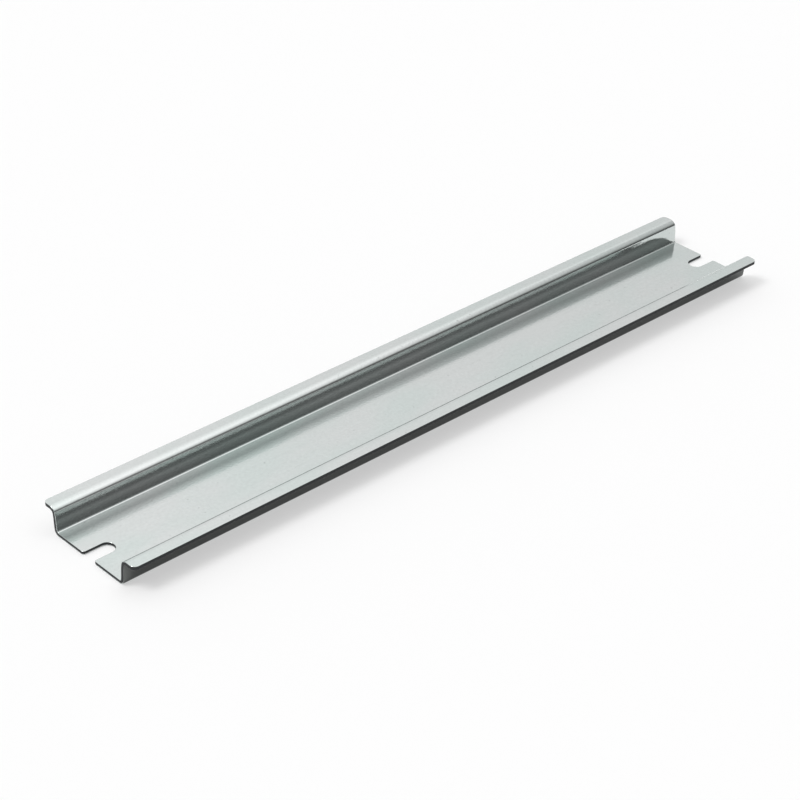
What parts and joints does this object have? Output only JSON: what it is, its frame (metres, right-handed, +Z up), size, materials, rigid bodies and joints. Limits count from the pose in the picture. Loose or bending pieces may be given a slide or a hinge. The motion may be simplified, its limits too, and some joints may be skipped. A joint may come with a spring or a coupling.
{
  "type": "din rail",
  "caption": "Top-hat mounting rail, 35 mm wide and 7.5 mm high, in zinc-plated steel, with a screw slot open at each end.",
  "frame": {"origin": "centre of the web's underside, the face that lies on the panel", "axes": "+X along the rail, +Y across it towards one flange, +Z up out of the panel"},
  "size_m": [0.22, 0.035, 0.0075],
  "materials": {
    "zinc_plated_steel": "bright zinc plating over cold-rolled strip, satin, with fine rolling lines along the rail"
  },
  "bodies": {
    "root": {"rail": "zinc_plated_steel"}
  },
  "joints": []
}
